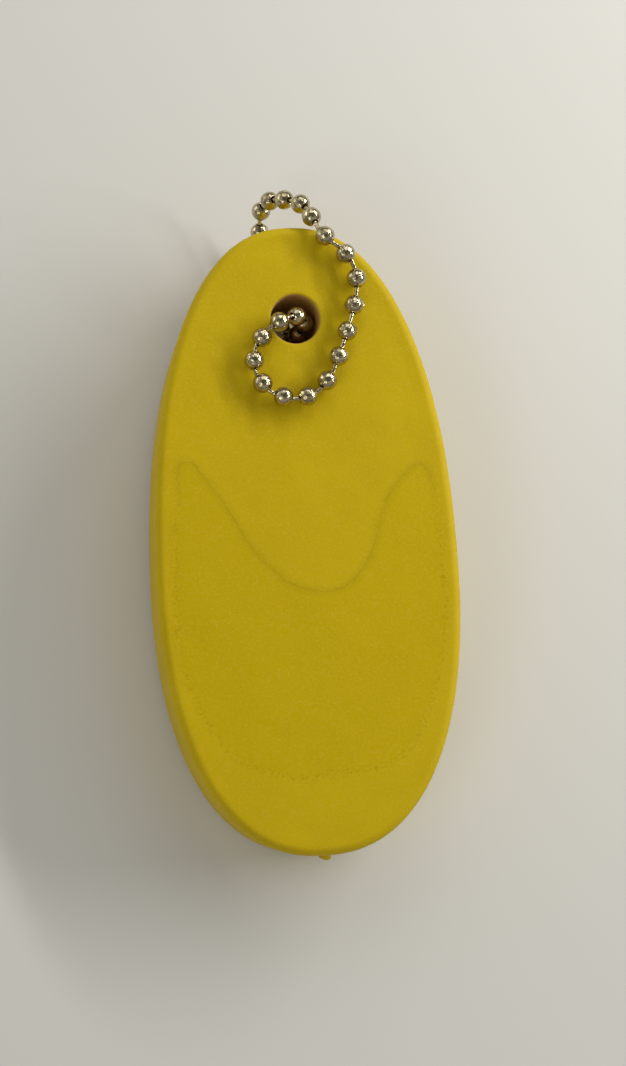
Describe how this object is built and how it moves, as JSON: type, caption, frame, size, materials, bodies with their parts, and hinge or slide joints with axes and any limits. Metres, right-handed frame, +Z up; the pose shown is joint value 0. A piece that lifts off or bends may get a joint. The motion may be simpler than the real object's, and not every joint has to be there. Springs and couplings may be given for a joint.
{
  "type": "floating keychain",
  "caption": "Floating keychain: a flat oval yellow foam float with a hole near one end and a closed loop of nickel-plated ball chain through it.",
  "frame": {"origin": "centre of the whole keychain's box, on the plane that it lies on", "axes": "+Y along the float towards its hole end, +X across the float, to the right seen from above with the hole end away from the viewer, +Z up from the float's back to its face"},
  "size_m": [0.0492, 0.1122, 0.0266],
  "materials": {
    "float_vinyl": "satin vinyl skin on closed-cell foam",
    "nickel_plate": "bright nickel plate on steel"
  },
  "bodies": {
    "root": {"float_body": "float_vinyl", "chain_coupling": "nickel_plate", "chain_bead_01": "nickel_plate", "chain_bead_02": "nickel_plate", "chain_bead_03": "nickel_plate", "chain_bead_04": "nickel_plate", "chain_bead_05": "nickel_plate", "chain_bead_06": "nickel_plate", "chain_bead_07": "nickel_plate", "chain_bead_08": "nickel_plate", "chain_bead_09": "nickel_plate", "chain_bead_10": "nickel_plate", "chain_bead_11": "nickel_plate", "chain_bead_12": "nickel_plate", "chain_bead_13": "nickel_plate", "chain_bead_14": "nickel_plate", "chain_bead_15": "nickel_plate", "chain_bead_16": "nickel_plate", "chain_bead_17": "nickel_plate", "chain_bead_18": "nickel_plate", "chain_bead_19": "nickel_plate", "chain_bead_20": "nickel_plate", "chain_bead_21": "nickel_plate", "chain_bead_22": "nickel_plate", "chain_bead_23": "nickel_plate", "chain_bead_24": "nickel_plate", "chain_bead_25": "nickel_plate", "chain_bead_26": "nickel_plate", "chain_bead_27": "nickel_plate", "chain_bead_28": "nickel_plate", "chain_pin_01": "nickel_plate", "chain_pin_02": "nickel_plate", "chain_pin_03": "nickel_plate", "chain_pin_04": "nickel_plate", "chain_pin_05": "nickel_plate", "chain_pin_06": "nickel_plate", "chain_pin_07": "nickel_plate", "chain_pin_08": "nickel_plate", "chain_pin_09": "nickel_plate", "chain_pin_10": "nickel_plate", "chain_pin_11": "nickel_plate", "chain_pin_12": "nickel_plate", "chain_pin_13": "nickel_plate", "chain_pin_14": "nickel_plate", "chain_pin_15": "nickel_plate", "chain_pin_16": "nickel_plate", "chain_pin_17": "nickel_plate", "chain_pin_18": "nickel_plate", "chain_pin_19": "nickel_plate", "chain_pin_20": "nickel_plate", "chain_pin_21": "nickel_plate", "chain_pin_22": "nickel_plate", "chain_pin_23": "nickel_plate", "chain_pin_24": "nickel_plate", "chain_pin_25": "nickel_plate", "chain_pin_26": "nickel_plate", "chain_pin_27": "nickel_plate"}
  },
  "joints": []
}
